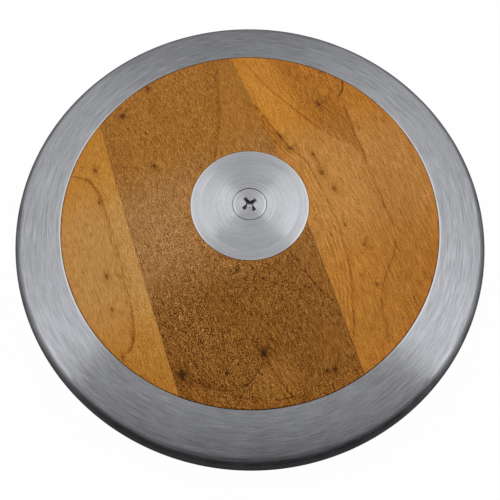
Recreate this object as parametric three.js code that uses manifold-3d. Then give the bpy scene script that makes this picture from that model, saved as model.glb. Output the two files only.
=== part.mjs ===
// A throwing discus of the two-kilogram class: a steel rim round a body of edge-glued
// boards, with a steel plate let in flush and screwed down at the centre of each side.
// Millimetres, +Z up. The origin is the centre of the disc, and the grain runs along Y.

import * as THREE from "three";
import { mergeVertices } from "three/addons/utils/BufferGeometryUtils.js";
import Module from "manifold-3d";

const wasm = await Module();
wasm.setup();

// Overall form, the same on both sides. A wide solid rim uses up the weight of the class,
// so these are near the small end of what the rules allow
const outerDiameter = 219.4;
const centreThickness = 44.1;
const flatDiameter = 52; // flat centre, from which each side tapers in a straight line
const gaugeInset = 6; // where the rules measure the rim, in from its edge
const gaugeThickness = 12; // thickness there
const arris = 0.25; // small chamfer on edges that meet at the surface

// Steel rim and the web that the two wooden halves grip
const rimWidth = 23.4; // from the outer diameter in to the bore
const webDepth = 6;
const webThickness = 1.6;

// Wooden body, in two halves of three boards
const bodyClearance = 0.3; // between the boards and the rim
const centreBoard = 74; // width of the centre board, glue joint to glue joint
const centreBoardShift = -16.6; // how far its middle lies from the disc's, across the grain

// Centre plates and the washers that trim the weight
const plateThickness = 2.4;
const plateClearance = 0.25;
const washerDiameter = 36;
const washerThickness = 1;
const washerClearance = 0.3;
const washerSlack = 0.3; // between the washer's bore and the screw's head

// Countersunk screws and the threaded sleeve that they enter
const headDiameter = 15;
const headLand = 0.4; // short upright edge of the head
const headSink = 0.1; // depth of the head below the plate's face
const headClearance = 0.2;
const shankDiameter = 7.4;
const shankChamfer = 0.8;
const screwLength = 16;
const sleeveLip = 1.4; // wall at the sleeve's mouths, on which the washers bear
const sleeveClearance = 0.3;
const threadClearance = 0.3;

// Cross recess in the head
const recessSpan = 7.5; // across the wings at the surface
const recessFoot = 3; // across the wings at the bottom
const recessDepth = 2.6;
const wingThickness = 1.3;
const recessCore = 3.2; // diameter of the hollow where the wings meet
const upperRecessTurn = THREE.MathUtils.degToRad(18);
const lowerRecessTurn = THREE.MathUtils.degToRad(61);

// Pins through the web
const pinCount = 6;
const pinDiameter = 2.5;
const pinLength = 12;
const pinInset = 3.2; // from the rim's bore in to the pins' centres
const pinClearance = 0.25;

// Facets and cuts
const discSteps = 96;
const noseSteps = 12;
const plateSteps = 48;
const screwSteps = 24;
const pinSteps = 12;
const overrun = 2; // how far a cutting tool stands past what it cuts

// Finishes
const brushedSteel = { color: 0xb4b6b9, roughness: 0.38, metalness: 1 };
const turnedSteel = { color: 0xc6c8ca, roughness: 0.3, metalness: 1 };
const plainSteel = { color: 0x8e9092, roughness: 0.5, metalness: 1 };
const honeyWood = { color: 0xb98445, roughness: 0.5, metalness: 0 };
const brownWood = { color: 0x8f5e2b, roughness: 0.5, metalness: 0 };
const tanWood = { color: 0xbd7f3c, roughness: 0.5, metalness: 0 };

// Values that follow from the sizes above
const halfThickness = centreThickness / 2;
const outerRadius = outerDiameter / 2;
const flatRadius = flatDiameter / 2;
const boreRadius = outerRadius - rimWidth;
const bodyRadius = boreRadius - bodyClearance;
const webRadius = boreRadius - webDepth;
const narrowJoint = centreBoardShift - centreBoard / 2;
const wideJoint = centreBoardShift + centreBoard / 2;
const headRadius = headDiameter / 2;
const shankRadius = shankDiameter / 2;
const washerRadius = washerDiameter / 2;
const pinCircle = boreRadius - pinInset;
const plateSeat = halfThickness - plateThickness;
const washerSeat = plateSeat - washerThickness;
const taperRun = outerRadius - gaugeInset - flatRadius;
const taper = Math.atan((halfThickness - gaugeThickness / 2) / taperRun);

// Radius of the round nose that touches both tapered faces and the outer diameter
function noseRadius() {
  const reach = (gaugeThickness / 2) * Math.cos(taper) - gaugeInset * Math.sin(taper);
  return reach / (1 - Math.sin(taper));
}

// Height of the tapered face at a radius
function faceHeight(radius) {
  return halfThickness - Math.tan(taper) * (radius - flatRadius);
}

// Radius of the screw's head at a depth below the plate's face, and of the seat that clears it
function headRadiusAt(depth) {
  const below = Math.max(depth - headSink - headLand, 0);
  return Math.max(headRadius - below, shankRadius);
}
function seatRadiusAt(depth) {
  return headRadiusAt(depth) + headClearance;
}

// Radii of the sleeve's bore, of its mouths where the screws' heads reach in, and of its outside
const threadRadius = shankRadius + threadClearance;
const mouthRadius = Math.max(seatRadiusAt(plateThickness + washerThickness), threadRadius + arris);
const sleeveRadius = mouthRadius + sleeveLip;

// Makes a geometry into a solid that can be cut and joined
function solidOf(geometry) {
  geometry.deleteAttribute("normal");
  geometry.deleteAttribute("uv");
  const merged = mergeVertices(geometry);
  const vertProperties = new Float32Array(merged.getAttribute("position").array);
  const triVerts = new Uint32Array(merged.getIndex().array);
  return new wasm.Manifold(new wasm.Mesh({ numProp: 3, vertProperties, triVerts }));
}

// Makes a solid back into a geometry
function geometryOf(solid) {
  const { vertProperties, triVerts } = solid.getMesh();
  const geometry = new THREE.BufferGeometry();
  geometry.setAttribute("position", new THREE.BufferAttribute(vertProperties, 3));
  geometry.setIndex(new THREE.BufferAttribute(triVerts, 1));
  geometry.computeVertexNormals();
  return geometry;
}

// Turns a closed outline of [radius, height] points, listed anticlockwise, round the Z axis
function turned(outline, steps) {
  const points = [...outline, outline[0]].map(([radius, height]) => new THREE.Vector2(radius, height));
  const geometry = new THREE.LatheGeometry(points, steps);
  geometry.rotateX(Math.PI / 2);
  return solidOf(geometry);
}

// Extrudes an outline of [x, y] points upward from a base height
function raised(outline, base, height) {
  const shape = new THREE.Shape(outline.map(([x, y]) => new THREE.Vector2(x, y)));
  const geometry = new THREE.ExtrudeGeometry(shape, { depth: height, bevelEnabled: false });
  geometry.translate(0, 0, base);
  return solidOf(geometry);
}

// Upright round bar centred on the origin
function roundBar(radius, length, steps) {
  const geometry = new THREE.CylinderGeometry(radius, radius, length, steps);
  geometry.rotateX(Math.PI / 2);
  return solidOf(geometry);
}

// Centres of the pins, evenly round the web
function pinPlaces() {
  return Array.from({ length: pinCount }, (_, index) => {
    const angle = (2 * Math.PI * index) / pinCount;
    return [pinCircle * Math.cos(angle), pinCircle * Math.sin(angle), 0];
  });
}

// Takes a hole for every pin out of a solid
function drilledForPins(solid) {
  const hole = roundBar(pinDiameter / 2 + pinClearance, pinLength + 2 * pinClearance, pinSteps);
  return pinPlaces().reduce((rest, place) => rest.subtract(hole.translate(place)), solid);
}

// Outline of the nose, from its lower to its upper tangent point
function noseOutline() {
  const radius = noseRadius();
  const sweep = Math.PI / 2 - taper;
  return Array.from({ length: noseSteps + 1 }, (_, index) => {
    const angle = sweep * ((2 * index) / noseSteps - 1);
    return [outerRadius - radius + radius * Math.cos(angle), radius * Math.sin(angle)];
  });
}

// Steel ring: tapered faces, round nose, and a web round the middle of its bore
function rim() {
  const web = webThickness / 2;
  const edge = boreRadius + arris;
  const boreEdge = faceHeight(edge) - arris;
  const section = [
    [webRadius, -web],
    [boreRadius, -web],
    [boreRadius, -boreEdge],
    [edge, -faceHeight(edge)],
    ...noseOutline(),
    [edge, faceHeight(edge)],
    [boreRadius, boreEdge],
    [boreRadius, web],
    [webRadius, web],
  ];
  return drilledForPins(turned(section, discSteps));
}

// One wooden half before it is sawn into boards, rebated for the web and recessed for the plate
function halfBody() {
  const web = webThickness / 2;
  const bore = sleeveRadius + sleeveClearance;
  const rebate = webRadius - bodyClearance;
  const washerRecess = washerRadius + washerClearance;
  const edge = bodyRadius - arris;
  const lip = flatRadius + arris;
  const section = [
    [bore, 0],
    [rebate, 0],
    [rebate, web],
    [bodyRadius, web],
    [bodyRadius, faceHeight(edge) - arris],
    [edge, faceHeight(edge)],
    [lip, faceHeight(lip)],
    [flatRadius, faceHeight(lip) - arris],
    [flatRadius, plateSeat],
    [washerRecess, plateSeat],
    [washerRecess, washerSeat],
    [bore, washerSeat],
  ];
  return drilledForPins(turned(section, discSteps));
}

// The board of a half that lies between two upright planes across X
function stave(half, from, to) {
  const reach = outerRadius + overrun;
  const outline = [
    [from, -reach],
    [to, -reach],
    [to, reach],
    [from, reach],
  ];
  return half.intersect(raised(outline, -overrun, halfThickness + 2 * overrun));
}

// Round centre plate with a countersunk hole, its face at height zero
function plate() {
  const radius = flatRadius - plateClearance;
  const section = [
    [seatRadiusAt(plateThickness), -plateThickness],
    [radius, -plateThickness],
    [radius, -arris],
    [radius - arris, 0],
    [seatRadiusAt(0), 0],
    [seatRadiusAt(0), -headSink - headLand],
  ];
  return turned(section, plateSteps);
}

// Flat washer under the plate, its top at height zero
function trimWasher() {
  const bore = headRadiusAt(plateThickness) + washerSlack;
  const section = [
    [bore, -washerThickness],
    [washerRadius, -washerThickness],
    [washerRadius, 0],
    [bore, 0],
  ];
  return turned(section, plateSteps);
}

// Cross recess: two tapered wings and the hollow where they meet, its mouth at height zero
function crossRecess() {
  const flare = ((recessSpan - recessFoot) / 2) * (overrun / recessDepth);
  const mouth = recessSpan / 2 + flare;
  const foot = recessFoot / 2;
  const wing = [
    [-foot, -recessDepth],
    [foot, -recessDepth],
    [mouth, overrun],
    [-mouth, overrun],
  ];
  const blade = raised(wing, -wingThickness / 2, wingThickness).rotate([90, 0, 0]);
  const coreLength = recessDepth + overrun;
  const core = roundBar(recessCore / 2, coreLength, pinSteps).translate([0, 0, overrun - coreLength / 2]);
  return blade.add(blade.rotate([0, 0, 90])).add(core);
}

// Countersunk screw, the top of its head at height zero
function screw() {
  const coneEnd = -headLand - (headRadius - shankRadius);
  const section = [
    [0, -screwLength],
    [shankRadius - shankChamfer, -screwLength],
    [shankRadius, shankChamfer - screwLength],
    [shankRadius, coneEnd],
    [headRadius, -headLand],
    [headRadius, 0],
    [0, 0],
  ];
  return turned(section, screwSteps).subtract(crossRecess());
}

// Threaded barrel through both halves
function coreSleeve() {
  const throat = washerSeat - (mouthRadius - threadRadius);
  const section = [
    [threadRadius, -throat],
    [mouthRadius, -washerSeat],
    [sleeveRadius, -washerSeat],
    [sleeveRadius, washerSeat],
    [mouthRadius, washerSeat],
    [threadRadius, throat],
  ];
  return turned(section, screwSteps);
}

// Names a solid and gives it its finish and its height
function piece(name, solid, finish, height = 0) {
  const mesh = new THREE.Mesh(geometryOf(solid), new THREE.MeshStandardMaterial(finish));
  mesh.name = name;
  mesh.position.z = height;
  return mesh;
}

// Everything that belongs to one side of the disc, facing up
function side(name, recessTurn) {
  const half = halfBody();
  const end = outerRadius + overrun;
  const fastener = piece(`${name}_screw`, screw(), turnedSteel, halfThickness - headSink);
  fastener.rotation.z = recessTurn;
  return new THREE.Group().add(
    piece(`${name}_narrow_stave`, stave(half, -end, narrowJoint), honeyWood),
    piece(`${name}_centre_stave`, stave(half, narrowJoint, wideJoint), brownWood),
    piece(`${name}_wide_stave`, stave(half, wideJoint, end), tanWood),
    piece(`${name}_plate`, plate(), turnedSteel, halfThickness),
    piece(`${name}_trim_washer`, trimWasher(), plainSteel, plateSeat),
    fastener,
  );
}

// Pins round the web, half of each in either side
function rimPins() {
  const pins = pinPlaces().map((place, index) => {
    const pin = piece(`rim_pin_${index + 1}`, roundBar(pinDiameter / 2, pinLength, pinSteps), plainSteel);
    pin.position.set(...place);
    return pin;
  });
  return new THREE.Group().add(...pins);
}

// The lower side is the upper one turned over, so that the joints of the two halves don't line up
const lowerSide = side("lower", lowerRecessTurn);
lowerSide.rotation.y = Math.PI;

const discus = new THREE.Group().add(
  piece("rim", rim(), brushedSteel),
  piece("core_sleeve", coreSleeve(), plainSteel),
  side("upper", upperRecessTurn),
  lowerSide,
  rimPins(),
);

export default discus;
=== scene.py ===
# A throwing discus: a brushed steel rim round edge-glued, varnished boards, with a turned
# steel plate and one cross-recess screw at the centre of each side.
# Sizes are in millimetres and become metres where meshes are made. The grain runs along Y.
# A ramp is (low, high, value below low, value above high), and leads smoothly from one to the other.
# Without its values it leads from zero to one.
import math

import bpy
from mathutils import Matrix, Vector


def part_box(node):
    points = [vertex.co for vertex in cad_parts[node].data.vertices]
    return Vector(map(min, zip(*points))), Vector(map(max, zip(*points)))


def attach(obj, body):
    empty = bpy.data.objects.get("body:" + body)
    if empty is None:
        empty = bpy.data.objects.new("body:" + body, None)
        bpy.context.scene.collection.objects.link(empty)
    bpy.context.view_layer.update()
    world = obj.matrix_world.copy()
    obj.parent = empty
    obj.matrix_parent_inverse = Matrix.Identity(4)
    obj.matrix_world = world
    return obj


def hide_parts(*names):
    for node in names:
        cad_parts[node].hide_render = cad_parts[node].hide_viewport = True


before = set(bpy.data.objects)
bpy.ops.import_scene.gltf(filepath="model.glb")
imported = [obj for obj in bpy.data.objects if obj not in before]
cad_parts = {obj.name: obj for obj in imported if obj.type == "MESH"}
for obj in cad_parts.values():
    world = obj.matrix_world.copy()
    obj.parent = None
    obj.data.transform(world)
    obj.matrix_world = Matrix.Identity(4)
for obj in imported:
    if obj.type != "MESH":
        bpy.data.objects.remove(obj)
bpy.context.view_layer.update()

MM = 0.001


def box_mm(node):
    """Lowest and highest corner of a CAD node, in millimetres."""
    return [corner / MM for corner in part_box(node)]


# Sizes read from the frame
rim_high = box_mm("rim")[1]
plate_low, plate_high = box_mm("upper_plate")
board_low, board_high = box_mm("upper_centre_stave")
washer_low, washer_high = box_mm("upper_trim_washer")
screw_low, screw_high = box_mm("upper_screw")
OUTER_RADIUS = rim_high.x
HALF_THICKNESS = plate_high.z
PLATE_SEAT = plate_low.z
NARROW_JOINT = board_low.x
WIDE_JOINT = board_high.x
BOARD_RADIUS = box_mm("upper_wide_stave")[1].x
WASHER_RADIUS = washer_high.x
WASHER_SEAT = washer_low.z
SLEEVE_RADIUS = box_mm("core_sleeve")[1].x
HEAD_TOP = screw_high.z
SCREW_FOOT = screw_low.z
PIN_NODES = sorted(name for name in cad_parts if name.startswith("rim_pin_"))

# Form of the rim and the boards
FLAT_RADIUS = 26.0
GAUGE_INSET = 6.0
GAUGE_HALF = 6.0
BOARD_GAP = 0.2
BORE_RADIUS = BOARD_RADIUS + BOARD_GAP
WEB_HALF = 0.8
WEB_DEPTH = 6.0
WEB_RADIUS = BORE_RADIUS - WEB_DEPTH
BORE_ROUND = 0.25
BOARD_ROUND = 0.5
SOCKET_ROUND = 0.2
HIDDEN_ROUND = 0.1
JOINT_HAIRLINE = 0.015
JOINT_LEAN = math.radians(0.62)
FIT = 0.3
PIN_CLEARANCE = 0.25
TAPER = math.atan((HALF_THICKNESS - GAUGE_HALF) / (OUTER_RADIUS - GAUGE_INSET - FLAT_RADIUS))

# Plate, screw and cross recess. The plate fills its socket a little closer than the CAD's does.
PLATE_SNUG = 0.13
PLATE_RADIUS = plate_high.x + PLATE_SNUG
PLATE_ROUND = 0.13
SEAT_CLEARANCE = 0.2
SEAT_ROUND = 0.15
HEAD_RADIUS = 7.35
HEAD_LAND = 0.4
HEAD_ROUND = 0.45
SHANK_RADIUS = 3.7
SHANK_CHAMFER = 0.8
GROOVE_RADII = (8.5, 9.6, 11.2, 21.4)
GROOVE_WIDTH = 0.34
GROOVE_DEPTH = 0.05
RECESS_SPAN = 7.5
RECESS_FOOT = 3.0
RECESS_DEPTH = 2.6
WING_WIDTH = 1.6
WING_FOOT_WIDTH = 1.0
WING_ROUND = 0.3
RECESS_CORE = 3.4
RECESS_CORE_FOOT = 2.2
RECESS_TURNS = {"upper": math.radians(18), "lower": math.radians(61)}

# Steps of curves
DISC_STEPS = 384
PLATE_STEPS = 192
SCREW_STEPS = 96
BAR_STEPS = 20
NOSE_STEPS = 40
CORNER_STEPS = 5
SMOOTH_ANGLE = math.radians(28)
OVERRUN = 2.0

# Camera, fitted to the photograph: where it stands, what it looks at, and its lens
EYE = Vector((-36.98, -92.17, 250.49))
TARGET = Vector((-11.21, -10.66, 0.0))
ROLL = math.radians(-1.54)
SENSOR_WIDTH = 36.0
LENS = 40.9
SHIFT = 0.0324
NEAR_CLIP = 10.0
VIEW_TURN = math.atan2(EYE.x, -EYE.y)

# World and floor. The floor's front is dimmer in reflections, by how far ahead of the centre a place is.
WHITE = (1, 1, 1, 1)
AMBIENT = 0.45
FLOOR_REACH = 6000.0
FLOOR_TONE = (0.97, 0.97, 0.97, 1)
FLOOR_ROUGHNESS = 0.8
FLOOR_GLOW = 0.97
FLOOR_DIM = (-180, -60, 0.66, 0.0)

# Tent. A soft box's edges are (place, softness) in the plan of directions, and fall where it is negative.
TENT_RADIUS = 1500.0
TENT_RINGS = 24
TENT_SEGMENTS = 48
TENT_TURN = 0.07
TENT_BASE = 0.30
BAND_LEVEL = 0.26
BAND_PLACE = -0.12
BAND_WIDE = 0.46
BAND_DEEP = 0.23
BOX_LEVEL = 0.49
BOX_SLANT = 0.75
BOX_INNER = (0.30, 0.02)
BOX_OUTER = (0.83, -0.5)
BOX_NEAR = (-1.18, 0.06)
BOX_FAR = (0.33, -0.27)
RIGHT_SIDE = (-0.2, 0.2, 1.0, 1.21)
FRONT_EDGE = (-0.45, 0.22)
FRONT_SHARE = 0.14

# Lamps, in metres, of which the left one is the right one's mirror image
LAMP_PLACE = Vector((0.75, 0.1, 0.65))
LAMP_SIZE = 0.9
LAMP_POWER = 4.2

# Brushed metal. Broad brush marks are wider and longer than the fine ones.
GRAZING_TINT = (0.4, 0.4, 0.4, 1)
BRUSH_TURN = 0.25
BROAD_ACROSS = 0.3
BROAD_ALONG = 0.5
BROAD_SHARE = 0.3
METAL_CLOUD = 0.045
METAL_CLOUD_SHARE = 0.3
LINE_ROUGHNESS = 0.10
CIRCLE_ROUGHNESS = 0.08
RELIEF = 0.3
METAL_RELIEF = 0.02

# Nose, shoulder and edges. The nose is darkened outwards, a painted shade in place of a dark reflection, and
# the edges carry a painted highlight. Shares are in front and behind, and at the sides.
NOSE_DEPTH = 4.1
NOSE_FADE = 1.4
NOSE_SHARE = 0.08
BURNISH = (0.0, 0.9, -0.19, 0.0)
# Painted highlight along the edges: its tint, its band, and the sides where it is strongest
EDGE_HIGHLIGHT_TINT = (0.96, 0.97, 1.0, 1)
EDGE_INSET = 0.3
EDGE_HIGHLIGHT_BAND = (EDGE_INSET, 2 * EDGE_INSET, 1.0, 0.0)
HIGHLIGHT_SIDES = (0.55, 0.9)
RIM_SHARES = (0.0, 0.75)
PLATE_SHARES = (0.5, 1.0)
SCREW_SHARES = (0.1, 1.0)

# Recess, by depth: painted shade darkens its walls, and painted highlights brighten its foot in spots
RECESS_WALL_SHADE = (0.05, 0.45, 1.0, 0.38)
FOOT_HIGHLIGHT_DEPTH = (2.3, RECESS_DEPTH)
FOOT_HIGHLIGHT_PITCH = 0.9
FOOT_HIGHLIGHT_SPOTS = (0.4, 0.6, 0.3, 1.3)

# Machined steel of the hidden pieces
TOOL_MARKS = (0.6, 0.6, 5.0)
MARK_TONE = 0.4
MARK_ROUGHNESS = 0.25
MACHINED_ROUGHNESS = 0.42
OIL_SCALE = 0.35
OIL_EDGE = (0.4, 0.65)
OILY = (0.30, 0.30, 0.31, 1)
BARE = (0.47, 0.48, 0.49, 1)

# Wood: colours from the darkest tone to the lightest
HONEY = (
    (0.0, (0.09, 0.03, 0.005)), (0.3, (0.33, 0.13, 0.014)), (0.55, (0.46, 0.217, 0.044)),
    (0.75, (0.55, 0.285, 0.08)), (1.0, (0.68, 0.37, 0.12)),
)
BROWN = (
    (0.0, (0.04, 0.013, 0.0)), (0.25, (0.16, 0.056, 0.001)), (0.5, (0.305, 0.130, 0.025)),
    (0.75, (0.44, 0.217, 0.07)), (1.0, (0.60, 0.32, 0.12)),
)
TAN = (
    (0.0, (0.09, 0.027, 0.005)), (0.3, (0.30, 0.108, 0.009)), (0.55, (0.455, 0.194, 0.036)),
    (0.75, (0.555, 0.254, 0.058)), (1.0, (0.70, 0.35, 0.09)),
)

# Grain. A pitch is across the grain, along it and in depth, and a share is what it adds to the tone.
SEED_STEP = (37.0, 91.0, 53.0)
WANDER_PITCH = (26, 60, 40)
WANDER = 9.0
TREMBLE_PITCH = (2.5, 7, 5)
TREMBLE = 1.1
DEPTH_DRIFT = 0.2
FIBRE_ACROSS = 0.45
FIBRE_DEEP = 3.0
FIBRE_SHARE = 0.6
STREAK_PITCH = (3.4, 60, 12)
STREAK_SHARE = 0.13
GRIT_PITCH = (0.34, 0.55, 1.0)
GRIT_IN_CLOUD = (-0.2, 0.2, 0.7, 1.2)
CLOUD_PITCH = (18, 34, 20)
CLOUD_SHARE = 0.04
RING_PITCH = (2.6, 140)
RING_SHARE = 0.09
PORE_PITCH = (0.4, 2.4, 1.0)
PORE_EDGE = (0.12, 0.26)
PORE_SHARE = -0.05
WOOD_RELIEF = 0.04
WOOD_BUMP = 0.6
WOOD_ROUGHNESS = 0.42
FIBRE_ROUGHNESS = 0.12
PORE_ROUGHNESS = 0.1
WOOD_SPECULAR = 0.15
COAT_WEIGHT = 0.05
COAT_ROUGHNESS = 0.3

# Knots and figure lines. The ramps of a knot are by distance, as a multiple of its size.
KNOT_SCALE = 1.35
KNOT_STRETCH = 1.6
RAGGED_PITCH = (0.8, 1.3, 1.0)
RAGGED = 0.35
KNOT_PUSH = (0.0, 6.0, 2.6, 0.0)
KNOT_HALO = (0.8, 3.2, -0.14, 0.0)
KNOT_CORE = (0.3, 1.2, -0.34, 0.0)
KNOT_PIT = (0.4, 1.2, -1.0, 0.0)
PATCH_EDGE = (0.3, 1.3, 1.0, 0.0)
LINE_FADE = 2.0
TRAIL_SHARE = 0.4
CURVE_SPAN = 100.0  # figure curves are kept as shares of this half width and half length

# Varnish: deeper where it pooled, with dark seams. Painted sheen: the boards are tinted deeper towards their
# ends, so a band across the middle stays paler.
OFF_SHEEN_TINT = (1.0, 0.87, 0.42, 1)
OFF_SHEEN_TOP = (12.0, 42.0, 0.0, 1.0)
OFF_SHEEN_FOOT = (-42.0, -12.0, 0.75, 0.0)
POOL_WIDTH = 6.0
POOL_TINT = (1.06, 0.94, 0.7, 1)
POOL_SHARE = 0.6
SEAM_TINT = (0.12, 0.04, 0.01, 1)
SEAM_WIDTH = 0.35
SEAM_SHARE = 0.45
SEAM_PITCH = (9, 9, 9)
SEAM_BREAKS = (-0.1, 0.15)
GLUE_WIDTH = 0.4
GLUE_FADE = (-20, 20, 0.7, 0.21)


def nose_radius():
    """Radius of the nose that touches both tapered faces and the outer diameter."""
    reach = GAUGE_HALF * math.cos(TAPER) - GAUGE_INSET * math.sin(TAPER)
    return reach / (1 - math.sin(TAPER))


def shoulder_radius():
    """Radius at which the tapered face meets the nose."""
    return OUTER_RADIUS - nose_radius() * (1 - math.sin(TAPER))


def face_height(radius):
    """Height of the tapered face at a radius."""
    return HALF_THICKNESS - math.tan(TAPER) * (radius - FLAT_RADIUS)


# Outlines and meshes

def corner_arc(before, corner, after, size):
    """Points of a round corner whose tangents reach no further than the sides allow."""
    here = Vector(corner)
    back, ahead = Vector(before) - here, Vector(after) - here
    half = back.angle(ahead) / 2
    reach = min(size / math.tan(half), back.length / 2, ahead.length / 2)
    radius = reach * math.tan(half)
    start, end = here + back.normalized() * reach, here + ahead.normalized() * reach
    centre = here + (back.normalized() + ahead.normalized()).normalized() * radius / math.sin(half)
    a, b = start - centre, end - centre
    turn = a.angle_signed(b)
    points = []
    for step in range(CORNER_STEPS + 1):
        angle = -turn * step / CORNER_STEPS
        c, s = math.cos(angle), math.sin(angle)
        points.append((centre.x + a.x * c - a.y * s, centre.y + a.x * s + a.y * c))
    return points


def softened(corners):
    """Closed outline from (radius, height, rounding) corners."""
    outline = []
    for index, (x, y, size) in enumerate(corners):
        if size == 0:
            outline.append((x, y))
            continue
        before = corners[index - 1][:2]
        after = corners[(index + 1) % len(corners)][:2]
        outline += corner_arc(before, (x, y), after, size)
    return outline


def mesh_object(name, vertices, faces):
    """Object from vertices in millimetres."""
    mesh = bpy.data.meshes.new(name)
    mesh.from_pydata([Vector(v) * MM for v in vertices], [], faces)
    mesh.validate()
    made = bpy.data.objects.new(name, mesh)
    bpy.context.scene.collection.objects.link(made)
    return made


def turned(name, outline, steps):
    """Solid of revolution about Z of a closed outline, listed anticlockwise."""
    vertices, rings = [], []
    for radius, height in outline:
        if radius == 0:
            rings.append([len(vertices)] * steps)
            vertices.append((0, 0, height))
            continue
        rings.append(list(range(len(vertices), len(vertices) + steps)))
        for step in range(steps):
            angle = 2 * math.pi * step / steps
            vertices.append((radius * math.cos(angle), radius * math.sin(angle), height))
    faces = []
    for index, ring in enumerate(rings):
        following = rings[(index + 1) % len(rings)]
        for step in range(steps):
            beyond = (step + 1) % steps
            corners = dict.fromkeys((ring[step], ring[beyond], following[beyond], following[step]))
            if len(corners) > 2:
                faces.append(list(corners))
    return mesh_object(name, vertices, faces)


def prism(name, lower, upper, bottom, top):
    """Solid between two outlines of as many points, one above the other."""
    count = len(lower)
    vertices = [(x, y, bottom) for x, y in lower] + [(x, y, top) for x, y in upper]
    sides = [[i, (i + 1) % count, count + (i + 1) % count, count + i] for i in range(count)]
    return mesh_object(name, vertices, [list(range(count))[::-1], list(range(count, 2 * count)), *sides])


def carved(body, cutter, operation):
    """Joins or cuts a solid with another, which is used up."""
    modifier = body.modifiers.new("cut", "BOOLEAN")
    modifier.object = cutter
    modifier.operation = operation
    modifier.solver = "EXACT"
    graph = bpy.context.evaluated_depsgraph_get()
    result = bpy.data.meshes.new_from_object(body.evaluated_get(graph))
    body.modifiers.clear()
    body.data = result
    bpy.data.objects.remove(cutter)
    return body


def placed(body, side):
    """Turns a piece over, about the grain, if it belongs to the lower side."""
    if side == "lower":
        body.rotation_euler.y = math.pi
    return body


def finished(body, node, material):
    """Gives a piece its shading, its material and its place on the object."""
    body.data.shade_smooth()
    body.data.set_sharp_from_angle(angle=SMOOTH_ANGLE)
    body.data.materials.clear()
    body.data.materials.append(material)
    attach(body, "root")
    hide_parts(node)


# Solids

def nose_outline():
    """Round nose from its lower to its upper tangent point."""
    radius = nose_radius()
    sweep = math.pi / 2 - TAPER
    angles = [sweep * (2 * step / NOSE_STEPS - 1) for step in range(NOSE_STEPS + 1)]
    return [(OUTER_RADIUS - radius + radius * math.cos(a), radius * math.sin(a)) for a in angles]


def pin_holes(name):
    """One bar for each pin, a little larger than the pin."""
    bars = []
    for node in PIN_NODES:
        low, high = box_mm(node)
        radius = (high.x - low.x) / 2 + PIN_CLEARANCE
        reach = high.z + PIN_CLEARANCE
        bar = turned(name, [(0, -reach), (radius, -reach), (radius, reach), (0, reach)], BAR_STEPS)
        bar.data.transform(Matrix.Translation((low + high) / 2 * MM))
        bars.append(bar)
    for bar in bars[1:]:
        carved(bars[0], bar, "UNION")
    return bars[0]


def make_rim():
    """Steel ring with a round nose, and the web that the boards close on."""
    top = face_height(BORE_RADIUS)
    corners = [
        (BORE_RADIUS, top, BORE_ROUND),
        (BORE_RADIUS, WEB_HALF, HIDDEN_ROUND),
        (WEB_RADIUS, WEB_HALF, HIDDEN_ROUND),
        (WEB_RADIUS, -WEB_HALF, HIDDEN_ROUND),
        (BORE_RADIUS, -WEB_HALF, HIDDEN_ROUND),
        (BORE_RADIUS, -top, BORE_ROUND),
        *[(x, y, 0) for x, y in nose_outline()],
    ]
    rim = turned("brushed_rim", softened(corners), DISC_STEPS)
    return carved(rim, pin_holes("rim_holes"), "DIFFERENCE")


def make_half_body():
    """One wooden half before it is sawn into boards."""
    bore = SLEEVE_RADIUS + FIT
    rebate = WEB_RADIUS - FIT
    washer_recess = WASHER_RADIUS + FIT
    corners = [
        (bore, 0, HIDDEN_ROUND),
        (rebate, 0, HIDDEN_ROUND),
        (rebate, WEB_HALF, HIDDEN_ROUND),
        (BOARD_RADIUS, WEB_HALF, HIDDEN_ROUND),
        (BOARD_RADIUS, face_height(BOARD_RADIUS), BOARD_ROUND),
        (FLAT_RADIUS, face_height(FLAT_RADIUS), SOCKET_ROUND),
        (FLAT_RADIUS, PLATE_SEAT, HIDDEN_ROUND),
        (washer_recess, PLATE_SEAT, HIDDEN_ROUND),
        (washer_recess, WASHER_SEAT, HIDDEN_ROUND),
        (bore, WASHER_SEAT, HIDDEN_ROUND),
    ]
    half = turned("half_body", softened(corners), DISC_STEPS)
    return carved(half, pin_holes("board_holes"), "DIFFERENCE")


def make_board(half, name, start, end, start_lean, end_lean):
    """The board of a half between two upright planes across X, which lean as Y grows."""
    board = half.copy()
    board.data = half.data.copy()
    board.name = name
    bpy.context.scene.collection.objects.link(board)
    reach = OUTER_RADIUS + OVERRUN
    first, second = reach * math.tan(start_lean), reach * math.tan(end_lean)
    outline = [
        (start - first, -reach),
        (end - second, -reach),
        (end + second, reach),
        (start + first, reach),
    ]
    slab = prism("slab", outline, outline, -OVERRUN, HALF_THICKNESS + OVERRUN)
    return carved(board, slab, "INTERSECT")


def make_boards(side):
    """The three boards of one side, by the name of their CAD node's middle part."""
    half = make_half_body()
    end = OUTER_RADIUS + OVERRUN
    spans = {
        "narrow": (-end, NARROW_JOINT - JOINT_HAIRLINE, 0.0, JOINT_LEAN),
        "centre": (NARROW_JOINT + JOINT_HAIRLINE, WIDE_JOINT - JOINT_HAIRLINE, JOINT_LEAN, -JOINT_LEAN),
        "wide": (WIDE_JOINT + JOINT_HAIRLINE, end, -JOINT_LEAN, 0.0),
    }
    boards = {key: make_board(half, f"{side}_{key}_board", *span) for key, span in spans.items()}
    bpy.data.objects.remove(half)
    return {key: placed(board, side) for key, board in boards.items()}


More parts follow.
